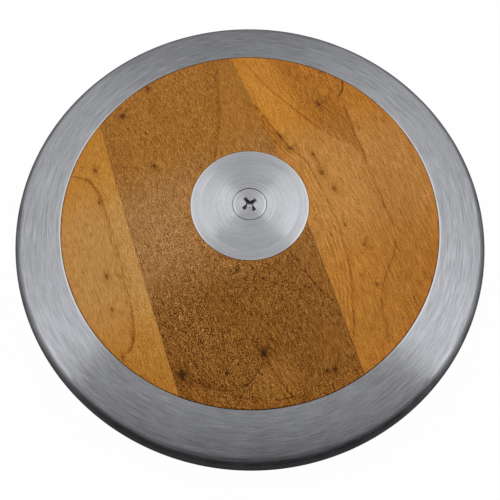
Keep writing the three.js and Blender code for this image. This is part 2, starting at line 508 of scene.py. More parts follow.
def make_plate(side):
    """Centre plate with its countersink and the deeper rings that the turning tool left."""
    seat = HEAD_RADIUS + SEAT_CLEARANCE
    land = HEAD_TOP - HEAD_LAND
    foot = seat - (land - PLATE_SEAT)
    corners = [
        (foot, PLATE_SEAT, 0),
        (PLATE_RADIUS, PLATE_SEAT, HIDDEN_ROUND),
        (PLATE_RADIUS, HALF_THICKNESS, PLATE_ROUND),
    ]
    for radius in reversed(GROOVE_RADII):
        corners += [
            (radius + GROOVE_WIDTH / 2, HALF_THICKNESS, 0),
            (radius, HALF_THICKNESS - GROOVE_DEPTH, GROOVE_DEPTH),
            (radius - GROOVE_WIDTH / 2, HALF_THICKNESS, 0),
        ]
    corners += [(seat, HALF_THICKNESS, SEAT_ROUND), (seat, land, 0)]
    return placed(turned(f"{side}_turned_plate", softened(corners), PLATE_STEPS), side)


def wing_outline(long, wide):
    """Outline of a wing of the recess from its half length and half width."""
    corners = ((-long, -wide), (long, -wide), (long, wide), (-long, wide))
    return softened([(x, y, WING_ROUND) for x, y in corners])


def make_recess():
    """Cross recess: two tapered wings and the hollow where they meet."""
    rise = OVERRUN / RECESS_DEPTH
    mouth = RECESS_SPAN / 2 + (RECESS_SPAN - RECESS_FOOT) / 2 * rise
    wide = WING_WIDTH / 2 + (WING_WIDTH - WING_FOOT_WIDTH) / 2 * rise
    lower = wing_outline(RECESS_FOOT / 2, WING_FOOT_WIDTH / 2)
    upper = wing_outline(mouth, wide)
    tool = None
    for turn in (0, math.pi / 2):
        wing = prism("wing", lower, upper, HEAD_TOP - RECESS_DEPTH, HEAD_TOP + OVERRUN)
        wing.data.transform(Matrix.Rotation(turn, 4, "Z"))
        tool = carved(tool, wing, "UNION") if tool else wing
    steepness = (RECESS_CORE - RECESS_CORE_FOOT) / 2
    outline = [
        (0, HEAD_TOP - RECESS_DEPTH - steepness),
        (RECESS_CORE_FOOT / 2, HEAD_TOP - RECESS_DEPTH),
        (RECESS_CORE / 2 + steepness * rise, HEAD_TOP + OVERRUN),
        (0, HEAD_TOP + OVERRUN),
    ]
    return carved(tool, turned("core", outline, BAR_STEPS), "UNION")


def make_screw(side):
    """Countersunk screw with a cross recess."""
    land = HEAD_TOP - HEAD_LAND
    shoulder = land - (HEAD_RADIUS - SHANK_RADIUS)
    corners = [
        (0, SCREW_FOOT, 0),
        (SHANK_RADIUS - SHANK_CHAMFER, SCREW_FOOT, 0),
        (SHANK_RADIUS, SCREW_FOOT + SHANK_CHAMFER, 0),
        (SHANK_RADIUS, shoulder, HIDDEN_ROUND),
        (HEAD_RADIUS, land, HIDDEN_ROUND),
        (HEAD_RADIUS, HEAD_TOP, HEAD_ROUND),
        (0, HEAD_TOP, 0),
    ]
    screw = turned(f"{side}_cross_screw", softened(corners), SCREW_STEPS)
    recess = make_recess()
    recess.data.transform(Matrix.Rotation(RECESS_TURNS[side], 4, "Z"))
    return placed(carved(screw, recess, "DIFFERENCE"), side)


# Materials

class Graph:
    """Adds nodes to a tree. Numbers go onto the sockets, and other nodes' outputs are linked."""

    def __init__(self, tree):
        self.tree = tree

    def feed(self, socket, value):
        """Links a node's output to a socket, or sets a number on it."""
        if isinstance(value, bpy.types.NodeSocket):
            self.tree.links.new(value, socket)
        else:
            socket.default_value = value

    def node(self, kind, inputs=None, **settings):
        """New node with its settings and inputs."""
        made = self.tree.nodes.new(kind)
        for key, value in settings.items():
            setattr(made, key, value)
        for key, value in (inputs or {}).items():
            self.feed(made.inputs[key], value)
        return made

    def math(self, operation, *values):
        made = self.node("ShaderNodeMath", operation=operation)
        for socket, value in zip(made.inputs, values):
            self.feed(socket, value)
        return made.outputs[0]

    def add(self, first, *others):
        for other in others:
            first = self.math("ADD", first, other)
        return first

    def less(self, first, second):
        return self.math("SUBTRACT", first, second)

    def times(self, first, *others):
        for other in others:
            first = self.math("MULTIPLY", first, other)
        return first

    def size(self, value):
        return self.math("ABSOLUTE", value)

    def vector(self, operation, *values):
        made = self.node("ShaderNodeVectorMath", operation=operation)
        for socket, value in zip(made.inputs, values):
            self.feed(socket, value)
        return made.outputs["Value" if operation in ("LENGTH", "DOT_PRODUCT") else "Vector"]

    def scaled(self, vector, factor):
        made = self.node("ShaderNodeVectorMath", {"Vector": vector, "Scale": factor}, operation="SCALE")
        return made.outputs["Vector"]

    def xyz(self, x, y, z):
        return self.node("ShaderNodeCombineXYZ", {"X": x, "Y": y, "Z": z}).outputs[0]

    def parts(self, vector):
        return self.node("ShaderNodeSeparateXYZ", {"Vector": vector}).outputs[:3]

    def noise(self, vector, scale=1.0, detail=2.0, roughness=0.5):
        inputs = {"Vector": vector, "Scale": scale, "Detail": detail, "Roughness": roughness}
        return self.node("ShaderNodeTexNoise", inputs).outputs[0]

    def centred(self, vector, scale=1.0, detail=2.0, roughness=0.5):
        """Noise that swings about zero."""
        return self.less(self.noise(vector, scale, detail, roughness), 0.5)

    def ease(self, value, low, high, start=0.0, end=1.0):
        """Smooth step from start, below low, to end, above high."""
        inputs = {"Value": value, "From Min": low, "From Max": high, "To Min": start, "To Max": end}
        return self.node("ShaderNodeMapRange", inputs, interpolation_type="SMOOTHSTEP").outputs[0]

    def edge(self, value, place, softness, start=0.0):
        """Rises from start to one across a soft edge, or falls to start if the softness is negative."""
        reach = abs(softness)
        low, high = (start, 1.0) if softness > 0 else (1.0, start)
        return self.ease(value, place - reach, place + reach, low, high)

    def squared(self, value, unit):
        """Square of a value as a multiple of a unit."""
        return self.math("POWER", self.size(self.times(value, 1 / unit)), 2.0)

    def mix(self, factor, first, second, blend="MIX"):
        """Mixes two colours. The node's inputs 0, 6 and 7 and its output 2 are those for colours."""
        made = self.node("ShaderNodeMix", data_type="RGBA", blend_type=blend)
        for index, value in ((0, factor), (6, first), (7, second)):
            self.feed(made.inputs[index], value)
        return made.outputs[2]

    def ramp(self, factor, stops):
        """Colour ramp through (place, colour) stops."""
        made = self.node("ShaderNodeValToRGB", {"Fac": factor})
        elements = made.color_ramp.elements
        for stop in stops[1:-1]:
            elements.new(stop[0])
        for element, (position, colour) in zip(elements, stops):
            element.position = position
            element.color = (*colour, 1)
        return made.outputs["Color"]

    def glow(self, level):
        return self.node("ShaderNodeEmission", {"Color": WHITE, "Strength": level}).outputs[0]

    def bump(self, height, distance):
        inputs = {"Height": height, "Strength": RELIEF, "Distance": distance * MM}
        return self.node("ShaderNodeBump", inputs).outputs[0]


def new_material(name):
    """Material with an empty principled shader, its graph, and the place in millimetres."""
    material = bpy.data.materials.new(name)
    material.use_nodes = True
    graph = Graph(material.node_tree)
    shader = material.node_tree.nodes["Principled BSDF"]
    place = graph.scaled(graph.node("ShaderNodeTexCoord").outputs["Object"], 1 / MM)
    return material, graph, shader, place


def turned_steel(name, tint, roughness, anisotropy, streak, rings, swing, painted_light, burnished=None):
    """Steel brushed round the Z axis.

    streak holds the width, length and strength of the arcs that the brush left, rings the pitch
    and strength of full circles, and swing how far an arc strays from the circle.
    The colour step passed in, called with (graph, colour, radius, place), returns the colour with painted
    shade and painted highlights.
    burnished is the radius of a line that the tool left smoother.
    """
    material, g, shader, place = new_material(name)
    x, y, z = g.parts(place)
    outward = g.xyz(x, y, 0.0)
    radius = g.vector("LENGTH", outward)
    width, length, strength = streak
    pitch, depth = rings
    around_x, around_y, _ = g.parts(g.scaled(g.vector("NORMALIZE", outward), OUTER_RADIUS / length))
    across = g.times(g.add(radius, z), 1 / width)
    fine = g.centred(g.xyz(across, around_x, around_y), detail=2, roughness=0.7)
    wide_across = g.times(across, BROAD_ACROSS)
    broad = g.centred(g.xyz(wide_across, g.times(around_x, BROAD_ALONG), g.times(around_y, BROAD_ALONG)))
    circles = g.centred(g.xyz(g.times(radius, 1 / pitch), 0.0, 0.0), detail=2, roughness=0.6)
    cloud = g.centred(place, scale=METAL_CLOUD, detail=3)
    lines = g.add(fine, g.times(broad, BROAD_SHARE))
    clouds = g.times(cloud, strength * METAL_CLOUD_SHARE)
    level = g.add(1.0, g.times(lines, strength), clouds, g.times(circles, depth))
    # painted shade and painted highlights go into the base colour here
    g.feed(shader.inputs["Base Color"], painted_light(g, g.scaled(tint, level), radius, place))
    rough = g.add(roughness, g.times(lines, LINE_ROUGHNESS), g.times(circles, CIRCLE_ROUGHNESS))
    if burnished:
        rough = g.add(rough, g.ease(g.size(g.less(radius, burnished)), *BURNISH))
    g.feed(shader.inputs["Roughness"], rough)
    shader.inputs["Metallic"].default_value = 1.0
    shader.inputs["Specular Tint"].default_value = GRAZING_TINT
    shader.inputs["Anisotropic"].default_value = anisotropy
    shader.inputs["Anisotropic Rotation"].default_value = BRUSH_TURN
    tangent = g.node("ShaderNodeTangent", direction_type="RADIAL", axis="Z").outputs[0]
    normal = g.node("ShaderNodeNewGeometry").outputs["Normal"]
    sideways = g.scaled(g.vector("CROSS_PRODUCT", tangent, normal), g.times(lines, swing))
    g.feed(shader.inputs["Tangent"], g.vector("NORMALIZE", g.vector("ADD", tangent, sideways)))
    g.feed(shader.inputs["Normal"], g.bump(g.add(fine, circles), METAL_RELIEF))
    return material


def painted_edge_highlight(g, colour, radius, place, edge, shares):
    """Painted highlight: a lighter line along an edge, more on the sides that face the softboxes than in
    front and behind.
    """
    sideways = g.vector("DOT_PRODUCT", place, (math.cos(VIEW_TURN), math.sin(VIEW_TURN), 0.0))
    share = g.ease(g.times(g.size(sideways), 1 / edge), *HIGHLIGHT_SIDES, *shares)
    line = g.ease(g.size(g.less(radius, edge)), *EDGE_HIGHLIGHT_BAND)
    # the painted highlight is mixed into the colour here
    return g.mix(g.times(line, share), colour, EDGE_HIGHLIGHT_TINT)


def rim_painted_light(g, colour, radius, place):
    """Painted shade: the round nose grows darker outwards. Painted highlight: two opposite stretches of the
    inner edge are lighter.
    """
    past = g.math("MAXIMUM", g.less(radius, OUTER_RADIUS - NOSE_DEPTH), 0.0)
    # painted shade: the nose's colour darkens outwards, in place of the dark reflection the steel would show
    painted_nose_light = g.times(g.math("EXPONENT", g.times(past, -1 / NOSE_FADE)), 1 - NOSE_SHARE)
    colour = g.scaled(colour, g.add(painted_nose_light, NOSE_SHARE))
    return painted_edge_highlight(g, colour, radius, place, BORE_RADIUS + EDGE_INSET, RIM_SHARES)


def plate_painted_highlight(g, colour, radius, place):
    """Painted highlight along the edge, most at the sides."""
    return painted_edge_highlight(g, colour, radius, place, PLATE_RADIUS - EDGE_INSET, PLATE_SHARES)


def screw_painted_light(g, colour, radius, place):
    """Painted shade darkens the walls of the recess, and painted highlights brighten its foot in spots; the
    head's edge has a painted highlight.
    """
    deep = g.less(HEAD_TOP, g.parts(place)[2])
    # painted highlight spots at the foot of the recess
    foot = g.times(g.ease(deep, *FOOT_HIGHLIGHT_DEPTH), g.ease(g.noise(place, FOOT_HIGHLIGHT_PITCH), *FOOT_HIGHLIGHT_SPOTS))
    # painted shade on the recess walls
    colour = g.scaled(colour, g.add(g.ease(deep, *RECESS_WALL_SHADE), foot))
    return painted_edge_highlight(g, colour, radius, place, HEAD_RADIUS - HEAD_ROUND, SCREW_SHARES)


def inner_steel():
    """Plain machined steel of the hidden pieces, with blotches of oil and fine tool marks."""
    material, g, shader, place = new_material("machined_steel")
    marks = g.centred(g.vector("MULTIPLY", place, TOOL_MARKS), detail=3)
    blotch = g.noise(place, scale=OIL_SCALE, detail=3)
    tint = g.mix(g.ease(blotch, *OIL_EDGE), OILY, BARE)
    g.feed(shader.inputs["Base Color"], g.scaled(tint, g.add(1.0, g.times(marks, MARK_TONE))))
    g.feed(shader.inputs["Roughness"], g.add(MACHINED_ROUGHNESS, g.times(marks, MARK_ROUGHNESS)))
    shader.inputs["Metallic"].default_value = 1.0
    g.feed(shader.inputs["Normal"], g.bump(marks, METAL_RELIEF))
    return material


class Board(Graph):
    """The figure of one board: its grain, and the lines, patches and knots set into it."""

    def __init__(self, tree, place, seed):
        super().__init__(tree)
        self.drift = self.vector("ADD", place, [seed * step for step in SEED_STEP])
        wander = self.grain(self.drift, WANDER_PITCH, roughness=0.5)
        tremble = self.grain(self.drift, TREMBLE_PITCH, roughness=0.5)
        self.plain_x, self.y, _ = self.parts(place)
        self.x = self.add(self.plain_x, self.times(tremble, TREMBLE))
        self.loose = self.add(self.x, self.times(wander, WANDER))
        self.here = self.xyz(self.x, self.y, 0.0)

    def grain(self, flow, pitch, detail=2.0, roughness=0.6):
        """Noise about zero with its own pitch across the grain, along it and in depth."""
        return self.centred(self.vector("MULTIPLY", flow, [1 / p for p in pitch]), 1.0, detail, roughness)

    def course(self, points, run):
        """Smooth function through (place, value) points, read at run, in millimetres."""
        made = self.node("ShaderNodeFloatCurve")
        curve = made.mapping.curves[0]
        spots = sorted([(number / CURVE_SPAN + 1) / 2 for number in point] for point in points)
        curve.points[0].location, curve.points[1].location = spots[0], spots[-1]
        for spot in spots[1:-1]:
            curve.points.new(*spot)
        made.mapping.update()
        self.feed(made.inputs["Value"], self.add(self.times(run, 0.5 / CURVE_SPAN), 0.5))
        back = self.less(self.times(made.outputs[0], 2.0), 1.0)
        return self.times(back, CURVE_SPAN)

    def past(self, points, crosswise=False):
        """How far a place lies past a line: in X if it runs along the grain, or in Y if across."""
        if crosswise:
            return self.less(self.y, self.course(points, self.x))
        return self.less(self.x, self.course([(y, x) for x, y in points], self.y))

    def within(self, points, crosswise=False, fade=LINE_FADE):
        """One beside the line's own stretch, and zero beyond its ends."""
        run = self.x if crosswise else self.y
        spots = [x if crosswise else y for x, y in points]
        low, high = min(spots), max(spots)
        begins = self.ease(run, low - fade, low + fade)
        return self.times(begins, self.ease(run, high - fade, high + fade, 1.0, 0.0))

    def line(self, points, width, trail=0.0, crosswise=False):
        """Thin figure line, with a fainter trail below it, or above it if trail is negative."""
        past = self.past(points, crosswise)
        mark = self.streak_at(past, 0.0, width)
        if trail:
            behind = past if trail > 0 else self.times(past, -1.0)
            fading = self.ease(behind, -abs(trail), 0.0)
            tail = self.times(fading, self.ease(behind, 0.0, width / 2, 1.0, 0.0), TRAIL_SHARE)
            mark = self.math("MAXIMUM", mark, tail)
        return self.times(mark, self.within(points, crosswise))

    def lines(self, table):
        """All lines of a table, each (points, width, trail, crosswise, tone)."""
        return self.add(*[self.times(self.line(*line), tone) for *line, tone in table])

    def streak_at(self, value, place, width):
        """Thin soft line where a value reaches a place."""
        return self.ease(self.size(self.less(value, place)), 0.0, width, 1.0, 0.0)

    def spot(self, x, y, across, along):
        """Distance from a point as a multiple of the spot's half width and half length."""
        offset = self.vector("SUBTRACT", self.here, (x, y, 0.0))
        return self.vector("LENGTH", self.vector("DIVIDE", offset, (across, along, 1.0)))

    def patch(self, x, y, across, along):
        """Soft round patch."""
        return self.ease(self.spot(x, y, across, along), *PATCH_EDGE)

    def patches(self, table):
        """All patches of a table, each (x, y, half width, half length, tone)."""
        return self.add(*[self.times(self.patch(*spot), tone) for *spot, tone in table])

    def knots(self, knots):
        """Distance to the nearest knot, as a multiple of its size."""
        nearest = None
        for x, y, size in knots:
            half = size * KNOT_SCALE
            away = self.spot(x, y, half, half * KNOT_STRETCH)
            nearest = self.math("MINIMUM", nearest, away) if nearest else away
        return nearest


def board_material(name, seed, stops, figure, knots, speckle, run, level):
    """Varnished wood.

    figure(board) returns what the lines and patches add to the tone, and a share of the speckle.
    run is the length of a fibre along the grain, in millimetres.
    """
    material, _, shader, place = new_material(name)
    b = Board(material.node_tree, place, seed)
    ragged = b.grain(b.drift, RAGGED_PITCH)
    away = b.times(b.knots(knots), b.add(1.0, b.times(ragged, RAGGED)))
    along = b.add(b.loose, b.ease(away, *KNOT_PUSH))
    _, dy, dz = b.parts(b.drift)
    flow = b.xyz(b.add(along, b.times(dz, DEPTH_DRIFT)), dy, dz)
    fibre = b.grain(flow, (FIBRE_ACROSS, run, FIBRE_DEEP), detail=0)
    streak = b.grain(flow, STREAK_PITCH, detail=3)
    grit = b.grain(b.drift, GRIT_PITCH, detail=0)
    pores = b.ease(b.grain(flow, PORE_PITCH, detail=1), *PORE_EDGE)
    cloud = b.grain(flow, CLOUD_PITCH)
    ring_across, ring_along = RING_PITCH
    ring_flow = b.xyz(b.times(along, 1 / ring_across), b.times(dy, 1 / ring_along), 0.0)
    ring = b.centred(ring_flow, detail=4, roughness=0.7)
    marks, calm = figure(b)
    tone = b.add(
        level,
        b.times(fibre, FIBRE_SHARE),
        b.times(streak, STREAK_SHARE),
        b.times(b.times(grit, b.ease(cloud, *GRIT_IN_CLOUD)), b.times(calm, speckle)),
        b.times(ring, RING_SHARE),
        b.times(cloud, CLOUD_SHARE),
        b.times(pores, PORE_SHARE),
        marks,
        b.ease(away, *KNOT_HALO),
        b.ease(away, *KNOT_CORE),
    )
    b.feed(shader.inputs["Base Color"], varnish_and_painted_sheen(b, b.ramp(tone, stops)))
    rough = b.add(WOOD_ROUGHNESS, b.times(fibre, FIBRE_ROUGHNESS), b.times(pores, PORE_ROUGHNESS))
    b.feed(shader.inputs["Roughness"], rough)
    shader.inputs["Specular IOR Level"].default_value = WOOD_SPECULAR
    shader.inputs["Coat Weight"].default_value = COAT_WEIGHT
    shader.inputs["Coat Roughness"].default_value = COAT_ROUGHNESS
    grooves = b.times(pores, -WOOD_BUMP)
    relief = b.add(b.times(fibre, WOOD_BUMP), b.times(grit, WOOD_BUMP), grooves, b.ease(away, *KNOT_PIT))
    b.feed(shader.inputs["Normal"], b.bump(relief, WOOD_RELIEF))
    return material


def varnish_and_painted_sheen(b, colour):
    """Painted sheen: the colour is tinted deeper towards the boards' ends, so a band across the middle stays
    paler. The varnish is deeper along the rim and round the plate, with dark seams and glue lines.
    """
    radius = b.vector("LENGTH", b.here)
    # painted sheen: tinted deeper towards the ends, leaving a paler band across the middle
    off_sheen = b.add(b.ease(b.y, *OFF_SHEEN_TOP), b.ease(b.y, *OFF_SHEEN_FOOT))
    colour = b.mix(off_sheen, colour, b.mix(1.0, colour, OFF_SHEEN_TINT, "MULTIPLY"))
    outside = b.ease(radius, BOARD_RADIUS - POOL_WIDTH, BOARD_RADIUS)
    inside = b.ease(radius, FLAT_RADIUS, FLAT_RADIUS + POOL_WIDTH, 1.0, 0.0)
    pooled = b.times(b.math("MAXIMUM", outside, inside), POOL_SHARE)
    colour = b.mix(pooled, colour, b.mix(1.0, colour, POOL_TINT, "MULTIPLY"))
    seam = b.streak_at(radius, BOARD_RADIUS - BOARD_ROUND, SEAM_WIDTH)
    broken = b.times(seam, b.ease(b.grain(b.drift, SEAM_PITCH), *SEAM_BREAKS))
    straightened = b.add(b.plain_x, b.times(b.y, math.tan(JOINT_LEAN)))
    glue = b.times(b.streak_at(straightened, WIDE_JOINT, GLUE_WIDTH), b.ease(b.y, *GLUE_FADE))
    return b.mix(b.math("MAXIMUM", b.times(broken, SEAM_SHARE), glue), colour, SEAM_TINT)


# Figure of the narrow board. A curve is (x, y) points in millimetres, x across the grain, and a knot
# is (x, y, size). The tables are as Board.lines and Board.patches read them.
NARROW_LOOP = (
    (-73.5, 46.5), (-69.5, 44.0), (-65.6, 40.5), (-62.6, 33.0), (-61.5, 22.0), (-61.2, 6.0),
    (-61.7, -12.0), (-62.6, -25.0), (-64.3, -34.5), (-67.0, -41.0), (-70.5, -43.2), (-74.5, -43.6),
)
NARROW_KNOTS = (
    (-60.5, 43.5, 0.7), (-63.0, 26.6, 0.5), (-68.8, -8.3, 0.8), (-70.7, -22.9, 0.6), (-71.8, -43.8, 0.5),
)
NARROW_LINES = ((NARROW_LOOP, 1.1, 3.0, False, -0.42),)
NARROW_PATCHES = ((-56, 10, 4, 70, 0.06), (-60, 58, 14, 24, -0.06), (-66, -60, 20, 30, -0.13))
LOOP_EDGE = (-1.0, 1.0, 1.0, 0.0)
LOOP_TOP = (8, 42, 0.42, 1.0)
LOOP_FOOT = (-36, -18, 1.9, 1.0)
LOOP_TONE = -0.02
LOOP_CALM = -0.8
NARROW_SPECKLE = 1.5


def narrow_figure(b):
    """A loop that is smoother and paler inside than out."""
    inside = b.times(b.ease(b.past(NARROW_LOOP), *LOOP_EDGE), b.within(NARROW_LOOP))
    loop = b.times(b.lines(NARROW_LINES), b.ease(b.y, *LOOP_TOP), b.ease(b.y, *LOOP_FOOT))
    marks = b.add(loop, b.times(inside, LOOP_TONE), b.patches(NARROW_PATCHES))
    return marks, b.add(NARROW_SPECKLE, b.times(inside, LOOP_CALM))


# Figure of the centre board
CENTRE_TOP = ((11.0, 80.0), (9.4, 75.0), (5.2, 58.7), (0.5, 44.0), (-4.0, 34.0), (-7.5, 26.0))
CENTRE_LOW = ((8.5, -25.0), (10.7, -30.5), (12.7, -36.1), (14.3, -41.0), (17.0, -47.0), (20.3, -51.6))
CENTRE_BOWL = (
    (-51.0, -57.0), (-48.0, -61.0), (-41.8, -67.0), (-34.0, -71.4), (-28.0, -71.8), (-18.0, -66.0),
)
CENTRE_TAIL = ((-14.6, -68.4), (-13.3, -72.5), (-11.9, -77.7), (-10.2, -81.9))
CENTRE_RIM = ((-18.0, -80.6), (-16.5, -81.3), (-12.3, -81.9), (-9.2, -82.2))
CENTRE_KNOTS = (
    (-24.9, 80.1, 0.7), (-41.0, 68.4, 1.0), (-34.2, 34.0, 0.7), (-50.5, -58.9, 1.1),
    (-15.8, -62.0, 1.0), (7.2, -76.9, 0.4), (10.5, -77.5, 0.5), (-15.1, -26.2, 0.5),
)
CENTRE_LINES = (
    (CENTRE_TOP, 1.0, 3.0, False, -0.15),
    (CENTRE_LOW, 0.8, 0.0, False, -0.12),
    (CENTRE_BOWL, 1.1, -3.0, True, -0.18),
    (CENTRE_TAIL, 0.8, 0.0, False, -0.2),
    (CENTRE_RIM, 0.6, 0.0, True, -0.3),
)
CENTRE_PATCHES = ((-13, -74, 11, 10, 0.14), (-40, 8, 20, 26, 0.05), (-50, 50, 6, 30, -0.05))
SMOOTH_EDGE = (-1.0, 1.5)
SMOOTH_FROM = (20, 40)
SMOOTH_TONE = 0.05
CORNER_EDGE = (-0.5, 1.5)
CORNER_FADE = 5.0
CORNER_TONE = 0.08
LOW_CORNER = (13, -66, 10, 15)
LOW_CORNER_TONE = 0.04
CENTRE_FOOT = (-34, -8, -0.19, 0.0)
ROUGH_PATCH = (-42, -42, 14, 18)
ROUGH_SPECKLE = 0.5
CALM_SPECKLE = -0.5
CENTRE_SPECKLE = (-20, 50, 1.25, 1.0)


def centre_figure(b):
    """Speckled and darkest low on the left, smoother and more orange at the upper right."""
    smooth = b.times(b.ease(b.past(CENTRE_TOP), *SMOOTH_EDGE), b.ease(b.y, *SMOOTH_FROM))
    corner = b.times(b.ease(b.past(CENTRE_LOW), *CORNER_EDGE), b.within(CENTRE_LOW, fade=CORNER_FADE))
    low_corner = b.patch(*LOW_CORNER)
    calm = b.math("MAXIMUM", b.math("MAXIMUM", smooth, corner), low_corner)
    marks = b.add(
        b.lines(CENTRE_LINES),
        b.patches(CENTRE_PATCHES),
        b.times(corner, CORNER_TONE),
        b.times(low_corner, LOW_CORNER_TONE),
        b.times(smooth, SMOOTH_TONE),
        b.ease(b.y, *CENTRE_FOOT),
    )
    rough = b.times(b.patch(*ROUGH_PATCH), ROUGH_SPECKLE)
    return marks, b.times(b.ease(b.y, *CENTRE_SPECKLE), b.add(1.0, rough, b.times(calm, CALM_SPECKLE)))


# Figure of the wide board
WIDE_ARCH = (
    (24.6, 80.0), (26.4, 74.0), (29.8, 60.0), (34.6, 48.0), (40.2, 36.5), (45.0, 26.8), (51.0, 19.8),
    (55.8, 15.0), (58.3, 9.0), (58.6, -4.0), (58.2, -18.0), (58.4, -26.0), (57.2, -33.0), (52.5, -40.5),
    (46.5, -47.0), (42.3, -52.5), (39.5, -58.5), (38.0, -65.0), (36.6, -75.0),
)
WIDE_EDGE = ((63.5, 40.0), (61.9, 33.0), (61.1, 26.3), (60.3, 22.0), (60.1, 11.3), (59.2, 5.9))
WIDE_STROKE = ((68.0, 53.6), (66.9, 50.5), (64.8, 46.4), (62.0, 44.0))
WIDE_RINGS = (
    (20.6, 50.0), (22.6, 40.5), (25.2, 28.0), (28.3, 18.5), (31.4, 12.0), (32.8, 0.0), (33.9, -12.0),
    (33.4, -28.0), (31.0, -43.0), (26.8, -57.0), (22.6, -68.0),
)
WIDE_KNOTS = (
    (50.1, 41.7, 0.9), (25.2, 28.7, 0.6), (26.7, 20.6, 0.6), (35.9, 14.8, 0.75), (35.7, 4.6, 0.9),
    (38.5, -4.2, 0.7), (36.6, -21.5, 0.5), (41.6, -32.3, 0.55), (40.2, -50.2, 0.35),
)
ARCH_LINES = ((WIDE_ARCH, 1.1, 0.0, False, -0.24),)
ARCH_STRENGTH = (10, 40, 0.7, 1.1)
WIDE_LINES = (
    (WIDE_EDGE, 0.8, 3.0, False, -0.24),
    (WIDE_STROKE, 1.0, 0.0, False, -0.55),
    (WIDE_RINGS, 1.0, 2.0, False, -0.2),
)
WIDE_PATCHES = ((29, 60, 11, 45, 0.16), (62, -42, 20, 45, -0.10), (40, -6, 16, 26, 0.06))
WIDE_SWIRL = (59.5, 58.0, 1.6, 3.0)
SWIRL_WIDTH = 0.4
SWIRL_TONE = -0.2
ARCH_START = -0.5
ARCH_SOFTNESS = (24, 62, 1.5, 22.0)
ARCH_FAR = (14.0, 26.0, 1.0, 0.6)
ARCH_STOP = (-0.5, 0.5, 1.0, 0.0)
ARCH_FOOT = (2, 14, 0.0, -0.17)
RINGS_BEHIND = (-0.8, 0.2, 1.0, 0.0)
RINGS_BEHIND_FOOT = (14, 24, 0.0, -0.2)
RIPPLE_TURNS = 3.2
RIPPLE_SCALE = 0.12
RIPPLE_WOBBLE = 7.0
RIPPLE_RISE = (-11.0, -4.0)
RIPPLE_FALL = (0.2, 1.2, 0.09, 0.0)
WIDE_OUTSIDE = (60, 74, 0.0, -0.03)
WIDE_FOOT = (-70, -30, -0.08, 0.0)
WIDE_SPECKLE = (15, 50, 1.0, 1.6)


def wide_figure(b):
    """An arch of darker wood round the top knot, and close rings beside the plate."""
    past_arch = b.past(WIDE_ARCH)
    beyond = b.times(b.ease(past_arch, ARCH_START, b.ease(b.y, *ARCH_SOFTNESS)), b.ease(past_arch, *ARCH_FAR))
    before_edge = b.ease(b.past(WIDE_EDGE), *ARCH_STOP)
    past_rings = b.past(WIDE_RINGS)
    wobble = b.times(b.centred(b.here, RIPPLE_SCALE), RIPPLE_WOBBLE)
    ripple = b.math("SINE", b.add(b.times(past_rings, RIPPLE_TURNS), wobble))
    marks = b.add(
        b.times(b.lines(ARCH_LINES), b.ease(b.y, *ARCH_STRENGTH)),
        b.lines(WIDE_LINES),
        b.patches(WIDE_PATCHES),
        b.times(b.streak_at(b.spot(*WIDE_SWIRL), 1.0, SWIRL_WIDTH), SWIRL_TONE),
        b.times(ripple, b.ease(past_rings, *RIPPLE_RISE), b.ease(past_rings, *RIPPLE_FALL)),
        b.times(beyond, before_edge, b.ease(b.y, *ARCH_FOOT)),
        b.times(b.ease(past_rings, *RINGS_BEHIND), b.ease(b.y, *RINGS_BEHIND_FOOT)),
        b.ease(b.x, *WIDE_OUTSIDE),
        b.ease(b.y, *WIDE_FOOT),
    )
    return marks, b.ease(b.y, *WIDE_SPECKLE)


# Figure of the lower boards
PLAIN_ARCH = ((-50.0, 70.0), (-42.0, 40.0), (-38.0, 0.0), (-42.0, -40.0), (-52.0, -70.0))
PLAIN_LINES = ((PLAIN_ARCH, 1.0, 3.0, False, -0.15),)
PLAIN_PATCHES = ((0, -40, 40, 40, -0.06),)
PLAIN_NARROW_KNOTS = ((-70.0, 30.0, 0.8), (-62.0, -44.0, 0.9))
PLAIN_CENTRE_KNOTS = ((-30.0, 60.0, 1.0), (4.0, -50.0, 0.8))
PLAIN_WIDE_KNOTS = ((44.0, 20.0, 0.9), (60.0, -30.0, 0.7))


def plain_figure(b):
    """Only a long soft arch."""
    return b.add(b.lines(PLAIN_LINES), b.patches(PLAIN_PATCHES)), 1.0


# Light, floor and camera

def area_light(name, place):
    """Square soft light aimed at the object. Place is in metres in the camera's own plan."""
    lamp = bpy.data.lights.new(name, "AREA")
    lamp.shape = "SQUARE"
    lamp.size = LAMP_SIZE
    lamp.energy = LAMP_POWER
    made = bpy.data.objects.new(name, lamp)
    made.location = Matrix.Rotation(VIEW_TURN, 3, "Z") @ place
    made.rotation_mode = "QUATERNION"
    made.rotation_quaternion = (-made.location).to_track_quat("-Z", "Y")
    made.visible_glossy = False
    bpy.context.scene.collection.objects.link(made)


def seen_directly(g):
    """One for camera, glossy and transmission rays."""
    path = g.node("ShaderNodeLightPath").outputs
    share = g.add(path["Is Camera Ray"], path["Is Glossy Ray"], path["Is Transmission Ray"])
    return g.math("MINIMUM", share, 1.0)


def make_world():
    """White where it is seen, and dimmer as a light."""
    world = bpy.data.worlds.new("studio")
    world.use_nodes = True
    g = Graph(world.node_tree)
    background = world.node_tree.nodes["Background"]
    background.inputs["Color"].default_value = WHITE
    g.feed(background.inputs["Strength"], g.math("MAXIMUM", seen_directly(g), AMBIENT))
    bpy.context.scene.world = world


def staged(body, material, surface):
    """Gives a piece of the studio its surface."""
    material.node_tree.links.new(surface, material.node_tree.nodes["Material Output"].inputs["Surface"])
    body.data.materials.append(material)


